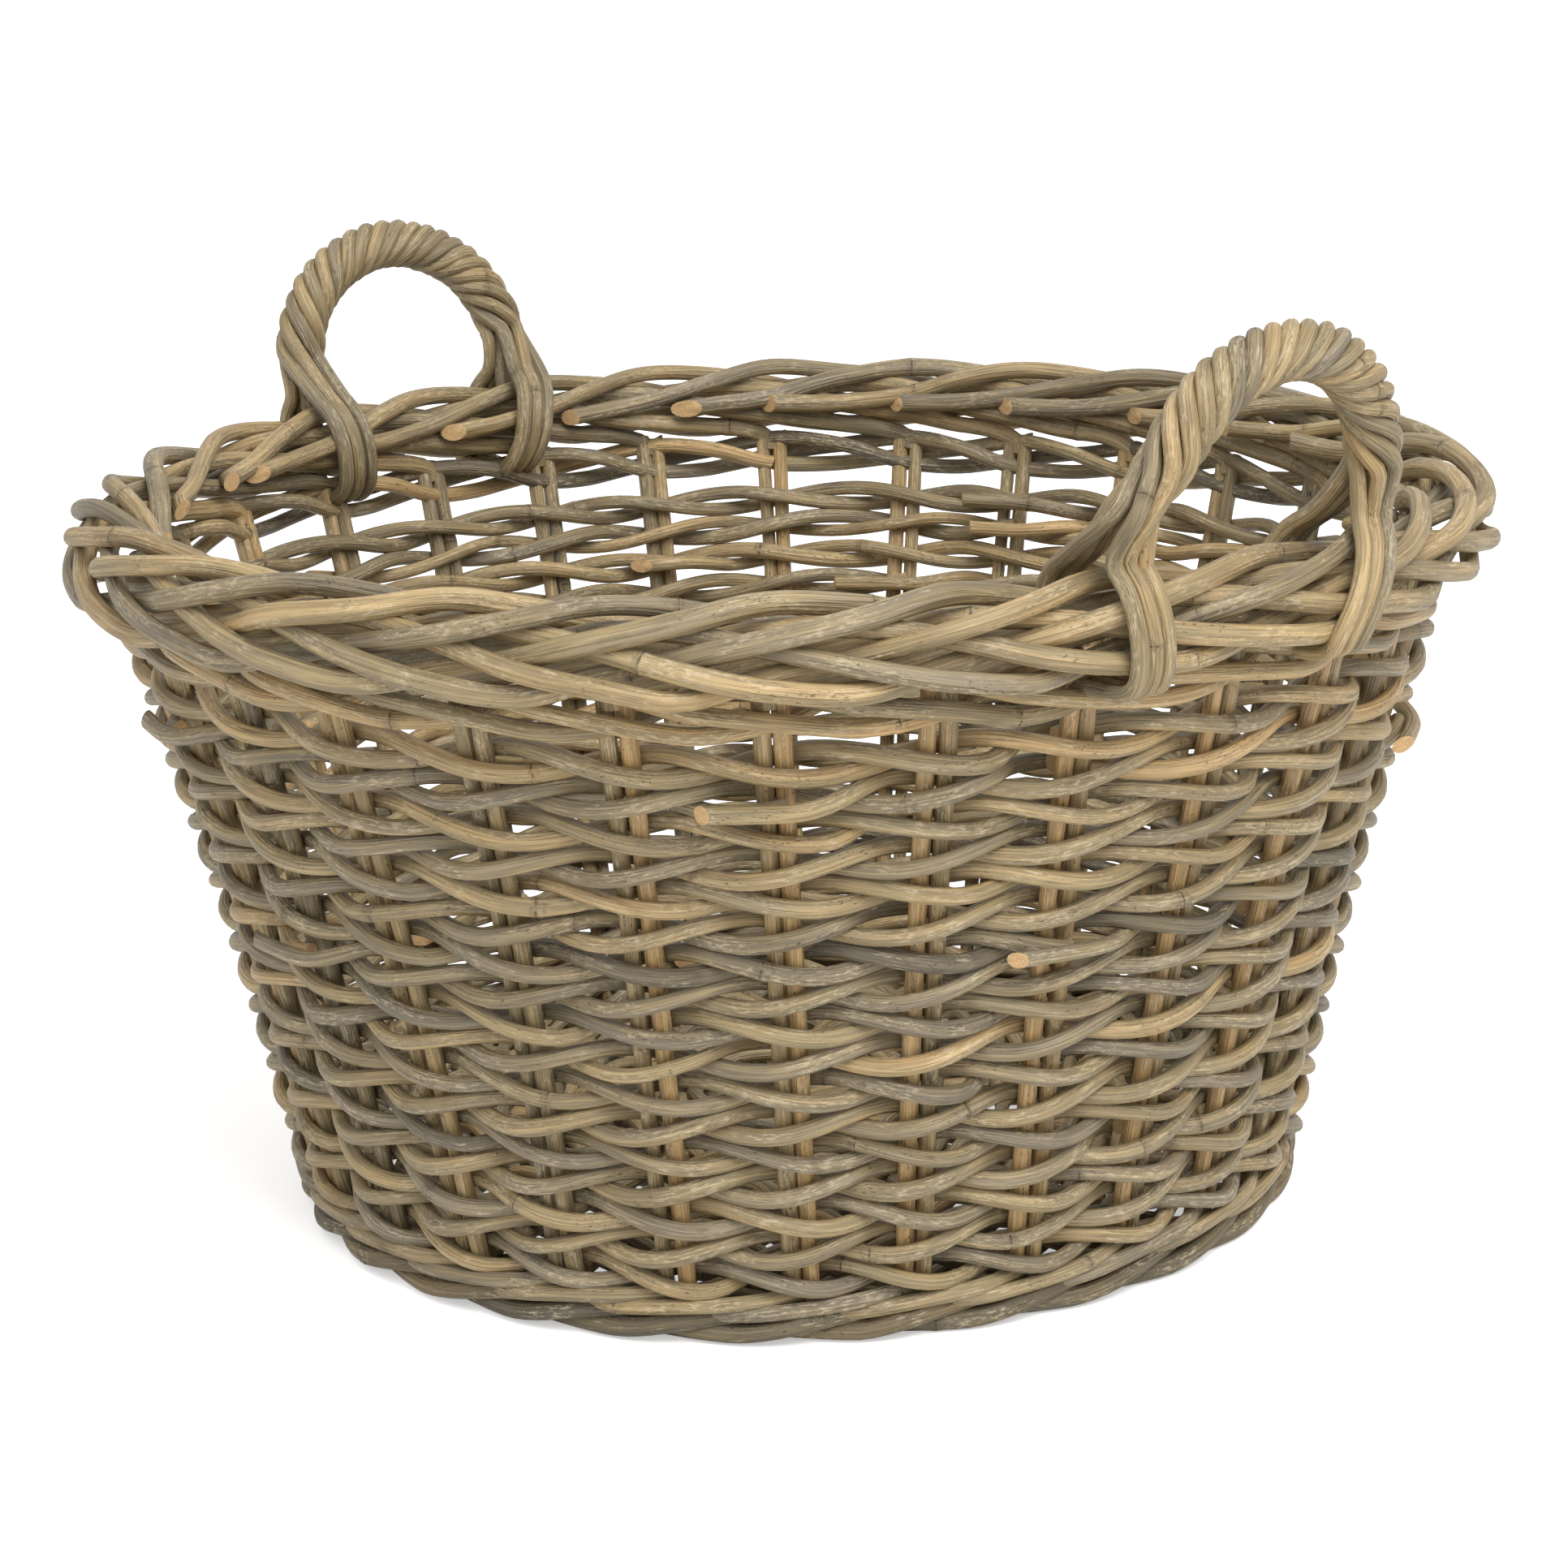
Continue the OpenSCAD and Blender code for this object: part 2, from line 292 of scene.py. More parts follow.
def lay_cane(bundle, path, thick, shade, cuts=(0.0, 0.0), sides=12, gap=5.5 * MM, faces=None):
    """Adds one closed cane along a dense path.

    cuts are the slants of its two ends in degrees. gap is the way from ring to ring of its
    mesh, and faces a direction that the slanted ends look to.
    """
    steps = np.linalg.norm(np.diff(path, axis=0), axis=1)
    along = np.concatenate([[0], np.cumsum(steps)])
    length = along[-1]
    knots = []
    place = draw.uniform(KNOT_FROM_END, KNOT_GAP[1])
    while place < length - KNOT_FROM_END:
        knots.append(place)
        place += draw.uniform(*KNOT_GAP)
    slants = [math.tan(math.radians(c)) * thick / 2 for c in cuts]
    places = ring_places(length, knots, gap, slants)
    spine = np.stack([np.interp(places, along, path[:, i]) for i in range(3)], axis=1)
    way, side, up = turning_sides(spine)

    phase = [draw.uniform(0, 2 * math.pi) for _ in range(5)]
    swell = sum(
        size * np.sin(places / way_along + phase[i]) for i, (size, way_along) in enumerate(SWELLS)
    )
    nearest = np.full(len(places), KNOT_FAR)
    for knot in knots:
        swell += KNOT_SWELL * np.exp(-(((places - knot) / KNOT_LENGTH) ** 2))
        nearest = np.minimum(nearest, np.abs(places - knot))
    radius = thick / 2 * (1 + swell)
    turn = np.arange(sides) * 2 * math.pi / sides
    lean = phase[2] + places[:, None] / OUTLINE_TURN
    oval = OUTLINE_OVAL * np.cos(2 * (turn - lean))
    shape = 1 + oval + OUTLINE_THREE_SIDED * np.cos(3 * turn + phase[3])
    reach = radius[:, None] * shape
    rings = (
        spine[:, None]
        + (reach * np.cos(turn))[..., None] * side[:, None]
        + (reach * np.sin(turn))[..., None] * up[:, None]
    )
    for ring, slant in ((0, -slants[0]), (-1, slants[1])):
        longest = phase[4]
        if faces is not None:
            longest = math.atan2(-np.dot(faces, up[ring]), -np.dot(faces, side[ring]))
        rings[ring] += (slant * np.cos(turn - longest))[:, None] * way[ring]

    first = bundle.add_points(rings.reshape(-1, 3), shade, np.repeat(nearest, sides))
    ends = bundle.add_points(
        np.array([rings[0].mean(axis=0), rings[-1].mean(axis=0)]), shade, nearest[[0, -1]]
    )
    for i in range(len(places) - 1):
        a, b = first + i * sides, first + (i + 1) * sides
        near, far = places[i], places[i + 1]
        for k in range(sides):
            n = (k + 1) % sides
            v, w = k / sides, (k + 1) / sides
            bundle.faces.append((a + k, a + n, b + n, b + k))
            bundle.face_uvs.append(((near, v), (near, w), (far, w), (far, v)))
            bundle.face_ends.append(False)
    last = first + (len(places) - 1) * sides
    for k in range(sides):
        n = (k + 1) % sides
        v, w = turn[k], turn[(k + 1) % sides]
        rim = [(thick * math.cos(x), thick * math.sin(x)) for x in (v, w)]
        bundle.faces.append((ends, first + n, first + k))
        bundle.face_uvs.append(((0, 0), rim[1], rim[0]))
        bundle.faces.append((ends + 1, last + k, last + n))
        bundle.face_uvs.append(((0, 0), rim[0], rim[1]))
        bundle.face_ends += [True, True]


SHARP_EDGE = math.radians(50)


def make_piece(name, bundle, cane, end, slot, *nodes):
    """Makes the bundle's mesh as one piece that stands for the frame's nodes."""
    mesh = bpy.data.meshes.new(name)
    points = np.concatenate(bundle.points)
    mesh.from_pydata(points.tolist(), [], bundle.faces)
    uvs = mesh.uv_layers.new(name="cane_length")
    uvs.data.foreach_set("uv", [x for face in bundle.face_uvs for uv in face for x in uv])
    shades = mesh.attributes.new("shade", "FLOAT_VECTOR", "POINT")
    shades.data.foreach_set("vector", np.concatenate(bundle.shades).ravel())
    knots = mesh.attributes.new("knot", "FLOAT", "POINT")
    knots.data.foreach_set("value", np.concatenate(bundle.knots))
    mesh.materials.append(cane)
    mesh.materials.append(end)
    mesh.polygons.foreach_set("material_index", [int(e) for e in bundle.face_ends])
    mesh.update()
    piece = bpy.data.objects.new(name, mesh)
    bpy.context.scene.collection.objects.link(piece)
    bpy.ops.object.select_all(action="DESELECT")
    piece.select_set(True)
    bpy.context.view_layer.objects.active = piece
    bpy.ops.object.shade_smooth_by_angle(angle=SHARP_EDGE)
    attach(piece, "root")
    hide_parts(*nodes)


# --- Materials --------------------------------------------------------------


def add_node(tree, kind, sockets=(), **settings):
    """Adds a node. sockets are (input, value or output socket) pairs."""
    node = tree.nodes.new(kind)
    for name, value in settings.items():
        setattr(node, name, value)
    for socket, value in sockets:
        if isinstance(value, bpy.types.NodeSocket):
            tree.links.new(value, node.inputs[socket])
        else:
            node.inputs[socket].default_value = value
    return node


def math_node(tree, operation, *values, clamp=False):
    """One sum, product or other step with numbers."""
    node = add_node(
        tree, "ShaderNodeMath", list(enumerate(values)), operation=operation, use_clamp=clamp
    )
    return node.outputs[0]


def noise_node(tree, vector, scale, detail=2.0, roughness=0.5):
    """Soft random patches, scale of them to each unit of the vector."""
    sockets = [("Vector", vector), ("Scale", scale), ("Detail", detail), ("Roughness", roughness)]
    return add_node(tree, "ShaderNodeTexNoise", sockets).outputs["Fac"]


def step_node(tree, value, low, high):
    """Soft step from 0 at low to 1 at high."""
    sockets = [("Value", value), ("From Min", low), ("From Max", high)]
    return add_node(
        tree, "ShaderNodeMapRange", sockets, interpolation_type="SMOOTHSTEP"
    ).outputs[0]


def mix_colour(tree, share, first, second, blend="MIX"):
    """The first colour with a share of the second mixed in or multiplied."""
    sockets = [(0, share), (6, first), (7, second)]
    node = add_node(tree, "ShaderNodeMix", sockets, data_type="RGBA", blend_type=blend)
    return node.outputs[2]


def new_group(name, inputs, outputs):
    """Node group with named number inputs, each with its starting value, and number outputs."""
    tree = bpy.data.node_groups.new(name, "ShaderNodeTree")
    for socket, value in inputs:
        made = tree.interface.new_socket(socket, in_out="INPUT", socket_type="NodeSocketFloat")
        made.default_value = value
    for socket in outputs:
        tree.interface.new_socket(socket, in_out="OUTPUT", socket_type="NodeSocketFloat")
    return tree, tree.nodes.new("NodeGroupInput").outputs, tree.nodes.new("NodeGroupOutput").inputs


MM_IN_METRE = 1000
# Radius in millimetres at which the skin's patterns lie round a cane
SKIN_R = 3.5
# How far apart the patterns of two canes are taken from
SEED_SPREAD = 911.0


def cane_space(tree, given, stretch):
    """Coordinates in millimetres on a cane's skin, drawn out lengthwise by stretch."""
    angle = math_node(tree, "MULTIPLY", given["Round"], 2 * math.pi)
    x = math_node(tree, "MULTIPLY", math_node(tree, "COSINE", angle), SKIN_R)
    y = math_node(tree, "MULTIPLY", math_node(tree, "SINE", angle), SKIN_R)
    z = math_node(tree, "MULTIPLY", given["Along"], MM_IN_METRE / stretch)
    z = math_node(tree, "MULTIPLY_ADD", given["Seed"], SEED_SPREAD, z)
    return add_node(tree, "ShaderNodeCombineXYZ", [(0, x), (1, y), (2, z)]).outputs[0]


SKIN_INPUTS = [("Along", 0.0), ("Round", 0.0), ("Seed", 0.0)]


def make_grain_group():
    """Lengthwise fibre lines, and the slow change of colour along and round a cane."""
    tree, given, out = new_group(
        "cane_grain", SKIN_INPUTS + [("Line width", 1.0)], ["Lines", "Fine", "Drift"]
    )
    width = math_node(tree, "DIVIDE", 1.0, given["Line width"])
    long = cane_space(tree, given, 45.0)
    coarse = noise_node(tree, long, math_node(tree, "MULTIPLY", width, 0.95), 2.0, 0.55)
    tree.links.new(step_node(tree, coarse, 0.4, 0.6), out["Lines"])
    fine = noise_node(tree, long, math_node(tree, "MULTIPLY", width, 3.4), 2.0, 0.6)
    tree.links.new(step_node(tree, fine, 0.3, 0.7), out["Fine"])
    slow = noise_node(tree, cane_space(tree, given, 14.0), 0.22, 3.0, 0.55)
    tree.links.new(step_node(tree, slow, 0.25, 0.75), out["Drift"])
    return tree


def make_knot_group():
    """Thin, broken, jagged ring at each knot of a cane, and the stain beside it."""
    tree, given, out = new_group("cane_knots", SKIN_INPUTS + [("Distance", 0.05)], ["Ring", "Stain"])
    skin = cane_space(tree, given, 1.0)
    jag = noise_node(tree, skin, 0.9, 3.0, 0.6)
    near = math_node(tree, "MULTIPLY", given["Distance"], MM_IN_METRE)
    edge = math_node(tree, "MULTIPLY_ADD", jag, 1.6, -0.45)
    ring = math_node(tree, "SUBTRACT", edge, near)
    broken = step_node(tree, noise_node(tree, skin, 0.32, 2.0, 0.5), 0.4, 0.56)
    whole = step_node(tree, ring, -0.25, 0.35)
    tree.links.new(math_node(tree, "MULTIPLY", whole, broken), out["Ring"])
    patch = noise_node(tree, skin, 0.28, 3.0, 0.65)
    reach = math_node(tree, "MULTIPLY_ADD", patch, 26.0, -9.5)
    stain = math_node(tree, "SUBTRACT", reach, near)
    tree.links.new(step_node(tree, stain, 0.0, 3.5), out["Stain"])
    return tree


def make_wear_group():
    """Dark specks and streaks, and pale rubbed places."""
    tree, given, out = new_group("cane_wear", SKIN_INPUTS, ["Specks", "Scuffs", "Blotches"])
    skin = cane_space(tree, given, 2.6)
    where = step_node(tree, noise_node(tree, skin, 0.09, 2.0, 0.5), 0.48, 0.62)
    spots = step_node(tree, noise_node(tree, skin, 1.25, 2.0, 0.65), 0.6, 0.68)
    tree.links.new(math_node(tree, "MULTIPLY", where, spots), out["Specks"])
    rubbed = cane_space(tree, given, 4.0)
    place = step_node(tree, noise_node(tree, rubbed, 0.16, 2.0, 0.5), 0.46, 0.58)
    flakes = step_node(tree, noise_node(tree, rubbed, 0.9, 4.0, 0.7), 0.5, 0.6)
    tree.links.new(math_node(tree, "MULTIPLY", place, flakes), out["Scuffs"])
    large = noise_node(tree, cane_space(tree, given, 5.0), 0.19, 4.0, 0.62)
    tree.links.new(step_node(tree, large, 0.57, 0.72), out["Blotches"])
    return tree


grain_group = make_grain_group()
knot_group = make_knot_group()
wear_group = make_wear_group()


def place_group(tree, group, sockets):
    """Adds a node group. sockets are (input name, value or output socket) pairs."""
    return add_node(tree, "ShaderNodeGroup", sockets, node_tree=group).outputs


def linear(red, green, blue):
    """Colour from everyday 0 to 255 values."""
    def part(value):
        share = value / 255
        return share / 12.92 if share < 0.04045 else ((share + 0.055) / 1.055) ** 2.4

    return (part(red), part(green), part(blue), 1.0)


# Colours of the skin from the greyest to the warmest, of dark marks and of rubbed places
WEATHERED = linear(144, 131, 108)
TAUPE = linear(163, 145, 108)
TAN = linear(184, 158, 113)
GOLD = linear(199, 164, 112)
DARK_BARK = linear(52, 38, 26)
RUBBED = linear(218, 202, 172)


def blank_material(name):
    """A new material, its node tree and its shader."""
    material = bpy.data.materials.new(name)
    material.use_nodes = True
    tree = material.node_tree
    return material, tree, tree.nodes["Principled BSDF"]


def cane_material(name, depth=1.0, warmer=0.0, line_width=1.0, wear=1.0, gloss=0.46):
    """Rattan: grey to golden skin with fibre lines, knots, stains and rubbed places.

    depth darkens the colour, warmer moves it from grey to gold, line_width widens the fibre
    lines, wear is the strength of the marks and gloss the skin's roughness.
    """
    material, tree, shader = blank_material(name)
    uv = add_node(tree, "ShaderNodeUVMap", uv_map="cane_length").outputs[0]
    skin = add_node(tree, "ShaderNodeSeparateXYZ", [(0, uv)]).outputs
    own = add_node(tree, "ShaderNodeAttribute", attribute_name="shade").outputs["Vector"]
    warmth, light, seed = add_node(tree, "ShaderNodeSeparateXYZ", [(0, own)]).outputs
    distance = add_node(tree, "ShaderNodeAttribute", attribute_name="knot").outputs["Fac"]
    place = [("Along", skin[0]), ("Round", skin[1]), ("Seed", seed)]
    grain = place_group(tree, grain_group, place + [("Line width", line_width)])
    knots = place_group(tree, knot_group, place + [("Distance", distance)])
    worn = place_group(tree, wear_group, place)

    drift = math_node(tree, "MULTIPLY_ADD", grain["Drift"], 0.5, warmer - 0.25)
    ramp = add_node(tree, "ShaderNodeValToRGB")
    tree.links.new(math_node(tree, "ADD", warmth, drift, clamp=True), ramp.inputs[0])
    colours = ramp.color_ramp.elements
    colours[0].color = WEATHERED
    colours[1].color = GOLD
    for at, colour in ((0.34, TAUPE), (0.66, TAN)):
        colours.new(at).color = colour

    lines = math_node(tree, "MULTIPLY_ADD", grain["Lines"], 0.3, 0.55)
    lines = math_node(tree, "MULTIPLY_ADD", grain["Fine"], 0.28, lines)
    shade = math_node(tree, "MULTIPLY", math_node(tree, "MULTIPLY", lines, light), depth)
    value = add_node(tree, "ShaderNodeCombineXYZ", [(0, shade), (1, shade), (2, shade)]).outputs[0]
    colour = mix_colour(tree, 1.0, ramp.outputs[0], value, "MULTIPLY")
    for mark, strength, mark_colour in (
        (worn["Blotches"], 0.38 * wear, DARK_BARK),
        (worn["Specks"], 0.72 * wear, DARK_BARK),
        (worn["Scuffs"], 0.42 * wear, RUBBED),
        (knots["Stain"], 0.32, DARK_BARK),
        (knots["Ring"], 0.66, DARK_BARK),
    ):
        share = math_node(tree, "MULTIPLY", mark, strength)
        colour = mix_colour(tree, share, colour, mark_colour)
    tree.links.new(colour, shader.inputs["Base Color"])

    rough = math_node(tree, "MULTIPLY_ADD", worn["Scuffs"], 0.22, gloss)
    rough = math_node(tree, "MULTIPLY_ADD", grain["Fine"], -0.1, rough)
    rough = math_node(tree, "MULTIPLY_ADD", worn["Blotches"], 0.16, rough)
    tree.links.new(rough, shader.inputs["Roughness"])

    height = math_node(tree, "MULTIPLY_ADD", grain["Fine"], 0.3, grain["Lines"])
    height = math_node(tree, "MULTIPLY_ADD", knots["Ring"], -1.2, height)
    height = math_node(tree, "MULTIPLY_ADD", worn["Specks"], -0.6, height)
    bump = add_node(
        tree, "ShaderNodeBump", [("Strength", 0.8), ("Distance", 0.4 * MM), ("Height", height)]
    )
    tree.links.new(bump.outputs[0], shader.inputs["Normal"])
    return material


def cut_end_material():
    """Pale, porous end of a cut cane."""
    material, tree, shader = blank_material("cane_cut_end")
    uv = add_node(tree, "ShaderNodeUVMap", uv_map="cane_length").outputs[0]
    pores = add_node(tree, "ShaderNodeTexVoronoi", [("Vector", uv), ("Scale", 1500.0)])
    pore = step_node(tree, pores.outputs["Distance"], 0.1, 0.55)
    patch = noise_node(tree, uv, 330.0, 3.0, 0.6)
    colour = mix_colour(tree, pore, linear(150, 112, 70), linear(214, 178, 128))
    colour = mix_colour(tree, math_node(tree, "MULTIPLY", patch, 0.5), colour, linear(170, 140, 100))
    tree.links.new(colour, shader.inputs["Base Color"])
    shader.inputs["Roughness"].default_value = 0.85
    bump = add_node(
        tree, "ShaderNodeBump", [("Strength", 0.6), ("Distance", 0.3 * MM), ("Height", pore)]
    )
    tree.links.new(bump.outputs[0], shader.inputs["Normal"])
    return material


weaver_cane = cane_material("weaver_cane")
stake_cane = cane_material("stake_cane", depth=0.98, warmer=0.08, line_width=1.1, wear=1.1)
# depth 0.88 darkens the border canes' colour as painted shade, holding back the strong key light
# that falls on the top of the rim
border_cane = cane_material("border_cane", depth=0.88, line_width=1.25, wear=0.8, gloss=0.5)
handle_cane = cane_material("handle_cane", depth=0.95, line_width=1.0, wear=0.9, gloss=0.48)
foot_cane = cane_material("foot_cane", depth=0.5, warmer=-0.05, line_width=1.2, gloss=0.58)
cut_end = cut_end_material()

# --- Wall -------------------------------------------------------------------

# Way between two points of a weaver's path, in stake spacings
U_STEP = 0.025
# Chances that two lengths of cane meet outside the wall, where the ends show
OUTSIDE_JOIN = 0.1
# Lengths of a row's canes in stake spacings; the last one of a row takes what is left
CANE_LENGTHS = [8, 10, 12, 14]
# The end of a length lies this far off the weave, in cane thicknesses
END_STANDS_OFF = 0.95
# Added warmth of the lowest row, and how much warmer the highest row is than the lowest
LOW_ROW_WARMER = -0.2
ROWS_WARMER_UP = 0.3


def join_places(strand):
    """Places round a row where one length of cane ends and the next begins, as (u, outside)."""
    at = 2 * draw.randrange(STAKE_PAIRS // 2) + 1 - strand
    end = at + STAKE_PAIRS
    joins = []
    while at <= end - CANE_LENGTHS[0]:
        outside = draw.random() < OUTSIDE_JOIN
        joins.append((at + 1 if outside else at, outside))
        at += draw.choice(CANE_LENGTHS)
    return joins


def lay_weaver(bundle, row_z, strand, climb, warmer):
    """One of the two canes of a row, pieced from several lengths.

    climb is 1 or -1, the way the two canes twist round each other.
    """
    heights = ring_of_chances(0.55 * MM)
    depths = ring_of_chances(0.45 * MM)

    def way_out_and_up(u):
        """How far the cane stands out of the stakes' circle, and its height."""
        way = math.pi * (u + strand)
        front = np.cos(way)
        z = row_z + climb * WEAVE_CLIMB * np.sin(way) - FRONT_SAG * front
        z = z + uneven(u, heights) + row_wave(u * PAIR_TURN, row_z)
        return WEAVE_SWING * front + uneven(u, depths), z

    joins = join_places(strand)
    for (start, starts_outside), (finish, ends_outside) in zip(
        joins, joins[1:] + [(joins[0][0] + STAKE_PAIRS, joins[0][1])]
    ):
        lead = draw.uniform(0.35, 0.55) if starts_outside else 0.08
        tail = 0.08 if ends_outside else draw.uniform(0.25, 0.6)
        u = np.arange(start - lead, finish + tail, U_STEP)
        out, z = way_out_and_up(u)
        thick = WEAVER_D * draw.uniform(0.9, 1.08)
        off = WEAVE_SWING + END_STANDS_OFF * thick
        if starts_outside:
            aside = 1 - smooth((u - start) / 0.7)
            out = out * (1 - aside) + aside * off
            z = z * (1 - aside) + aside * way_out_and_up(np.full_like(u, start))[1]
        if not ends_outside:
            aside = smooth((u - finish + 0.7) / 0.6)
            out = out * (1 - aside) - aside * off
            z = z * (1 - aside) + aside * way_out_and_up(np.full_like(u, finish))[1]
        cuts = (
            draw.uniform(40, 62) if starts_outside else 10,
            10 if ends_outside else draw.uniform(15, 60),
        )
        path = on_wall(u, out, z)
        outward = path[0 if starts_outside else -1] * [1, 1, 0] * (1 if starts_outside else -1)
        lay_cane(bundle, path, thick, pick_shade(warmer), cuts, faces=outward)


def make_rows():
    """Rows of two canes; every second row is twisted the other way."""
    for i, node in enumerate(row_nodes):
        bundle = Bundle()
        share = i / (len(row_nodes) - 1)
        row_z = middle_z(node) + draw.uniform(-0.5, 0.5) * MM
        climb = 1 if i % 2 else -1
        for strand in (0, 1):
            lay_weaver(bundle, row_z, strand, climb, ROWS_WARMER_UP * share + LOW_ROW_WARMER)
        make_piece(
            node.replace("weave_row", "row") + "_weavers", bundle, weaver_cane, cut_end,
            "weaver_cane", node
        )


# How much higher the top wale lies than the frame's
TOP_WALE_HIGHER = 8.5 * MM
# One wale cane over three stake spacings, in front of two pairs and behind the third,
# as (spacings, out, up) in shares of its swing and of its climb
WALE_ROUND = [
    (0.0, 0.0, 1.0), (0.5, 1.0, 0.72), (1.0, 1.08, 0.0), (1.5, 1.0, -0.72), (2.0, 0.0, -1.0),
    (2.5, -1.0, 0.0)
]


def lay_wale(bundle, wale_z, swing, climb, inner_lift, thick, warmer):
    """Three canes that follow each other round, each in front of two pairs and behind one.

    inner_lift is how much higher they lie on the inside than on the outside.
    """
    rounds = [
        (p[0] + 3 * n, p[1], p[2]) for n in range(-1, STAKE_PAIRS // 3 + 2) for p in WALE_ROUND
    ]
    curve = smooth_path(rounds, 12)
    heights = ring_of_chances(0.5 * MM)
    for strand in range(3):
        start = strand + 2.5
        finish = start + STAKE_PAIRS
        u = np.arange(start - 0.15, finish + 0.35, U_STEP)
        local = np.minimum(u - strand, curve[-1][0])
        out = swing * np.interp(local, curve[:, 0], curve[:, 1])
        up = climb * np.interp(local, curve[:, 0], curve[:, 2])
        z = wale_z + up + uneven(u, heights) + row_wave(u * PAIR_TURN, wale_z)
        z = z + inner_lift * (0.5 - 0.5 * np.clip(out / swing, -1, 1))
        aside = smooth((u - finish + 0.5) / 0.5)
        out = out * (1 - aside) - aside * (swing + thick)
        middle = start + draw.choice([9, 12, 15]) - 0.5
        first = u < middle
        for part in (first, ~first):
            lay_cane(bundle, on_wall(u[part], out[part], z[part]), thick, pick_shade(warmer),
                     (20, 45))


def make_wales():
    bundle = Bundle()
    lay_wale(bundle, middle_z("top_wale") + TOP_WALE_HIGHER, swing=8.2 * MM, climb=6.5 * MM,
             inner_lift=8 * MM, thick=WALE_D * 1.1, warmer=0.0)
    make_piece("top_wale_canes", bundle, weaver_cane, cut_end, "weaver_cane", "top_wale")
    bundle = Bundle()
    lay_wale(bundle, middle_z("bottom_wale"), swing=7.8 * MM, climb=-3.6 * MM,
             inner_lift=0.0, thick=WALE_D * 0.95, warmer=-0.15)
    make_piece("bottom_wale_canes", bundle, weaver_cane, cut_end, "weaver_cane", "bottom_wale")


# Way between two points of a stake's path; a stake starts this far below the foot's top
STAKE_STEP = 4 * MM


def make_stakes():
    """Two canes stand side by side at each place round the wall."""
    for node, side in (("main_stakes", -1), ("bye_stakes", 1)):
        bundle = Bundle()
        for k in range(STAKE_PAIRS):
            z = np.arange(foot_top_z - STAKE_STEP, stake_top_z, STAKE_STEP)
            spread = side * (PAIR_OFFSET + draw.uniform(-0.1, 0.35) * MM) / wall_r(z)
            bow = draw.uniform(-1.2, 1.2) * MM * np.sin((z - foot_top_z) * draw.uniform(9, 16))
            turn = turn_at(np.full_like(z, float(k)), z) + spread + bow / wall_r(z)
            out = draw.uniform(-0.3, 0.3) * MM
            path = round_basket(turn, wall_r(z) + out + out_of_round(turn), z)
            lay_cane(bundle, path, STAKE_D * draw.uniform(0.92, 1.04), pick_shade(0.12), (0, 25),
                     gap=9 * MM)
        make_piece(node + "_canes", bundle, stake_cane, cut_end, "stake_cane", node)


# --- Top border -------------------------------------------------------------

# One border cane's way from the top of its stake, as (pairs passed, out, up): out and up are
# in border widths from the border's middle. It rises inside the border, goes down its outer
# face, turns up at the bottom, goes over the top and ends inside.
BORDER_WAY = [
    (0, -0.68, -3.3), (0, -0.62, -2.6), (0.2, -0.75, -2.0), (0.6, -1.1, -1.5), (1, -1.25, -0.95),
    (1.5, -1.1, -0.3), (2, -0.3, 0.55), (2.5, 0.65, 0.7), (3, 1.4, 0.05), (3.5, 2.05, -0.8),
    (4, 2.3, -1.6), (4.5, 1.85, -2.15), (5, 1.1, -1.35), (5.5, 1.1, -0.45), (6, 2.05, 0.6),
    (6.5, 1.5, 1.4), (7, 0.3, 1.88), (7.5, -1.0, 1.35), (8, -1.8, 0.45), (8.5, -2.05, 0.0),
    (8.75, -2.3, -0.05)
]
# The way above is drawn a little taller than the border is; its top stays where it is
BORDER_TOP = 1.88
BORDER_SQUEEZE = 0.9


# Stretches the pairs passed while a border cane's way is smoothed, so that they count as much
WAY_STRETCH = [4, 1, 1]


def border_height(up):
    """Height in metres at up border widths from the border's middle."""
    return border_z + (BORDER_TOP - (BORDER_TOP - up) * BORDER_SQUEEZE) * BORDER_WIDTH


def make_border():
    """One cane from each stake pair, rolled over the canes beside it."""
    bundle = Bundle()
    for k in range(STAKE_PAIRS):
        way = np.array(BORDER_WAY)
        way[1:, 1:] += np.array([[draw.uniform(-0.1, 0.1) for _ in "xy"] for _ in way[1:]])
        way[-1, 0] += draw.uniform(-0.3, 0.3)
        curve = smooth_path(way * WAY_STRETCH, 10) / WAY_STRETCH
        u = curve[:, 0] + k
        turn = turn_at(u, np.full_like(u, border_z))
        r = border_r + curve[:, 1] * BORDER_WIDTH + out_of_round(turn)
        path = round_basket(turn, r, border_height(curve[:, 2]))
        thick = BORDER_D * draw.uniform(0.92, 1.06)
        lay_cane(bundle, path, thick, pick_shade(0.04), (0, draw.uniform(35, 60)), 14,
                 faces=path[-1] * [-1, -1, 0])
    make_piece("border_rolled_canes", bundle, border_cane, cut_end, "border_cane", "border_canes")


# --- Foot -------------------------------------------------------------------

# One foot cane's way, as (pairs passed, out, height) in millimetres from the foot's circle:
# down from its stake inside, out along the floor, and up over the next canes
FOOT_WAY = [
    (0.2, -5.6, 8.8), (0.5, -4.5, 6.5), (0.75, -3.0, 5.4), (1.0, -0.8, 5.1), (1.25, 2.0, 5.1),
    (1.5, 4.2, 5.2), (1.75, 5.4, 7.1), (2.0, 5.4, 9.7), (2.25, 3.9, 11.9), (2.5, 1.4, 12.9),
    (2.8, -1.8, 13.2)
]


# The same for the foot's canes
FOOT_STRETCH = [8, 1, 1]


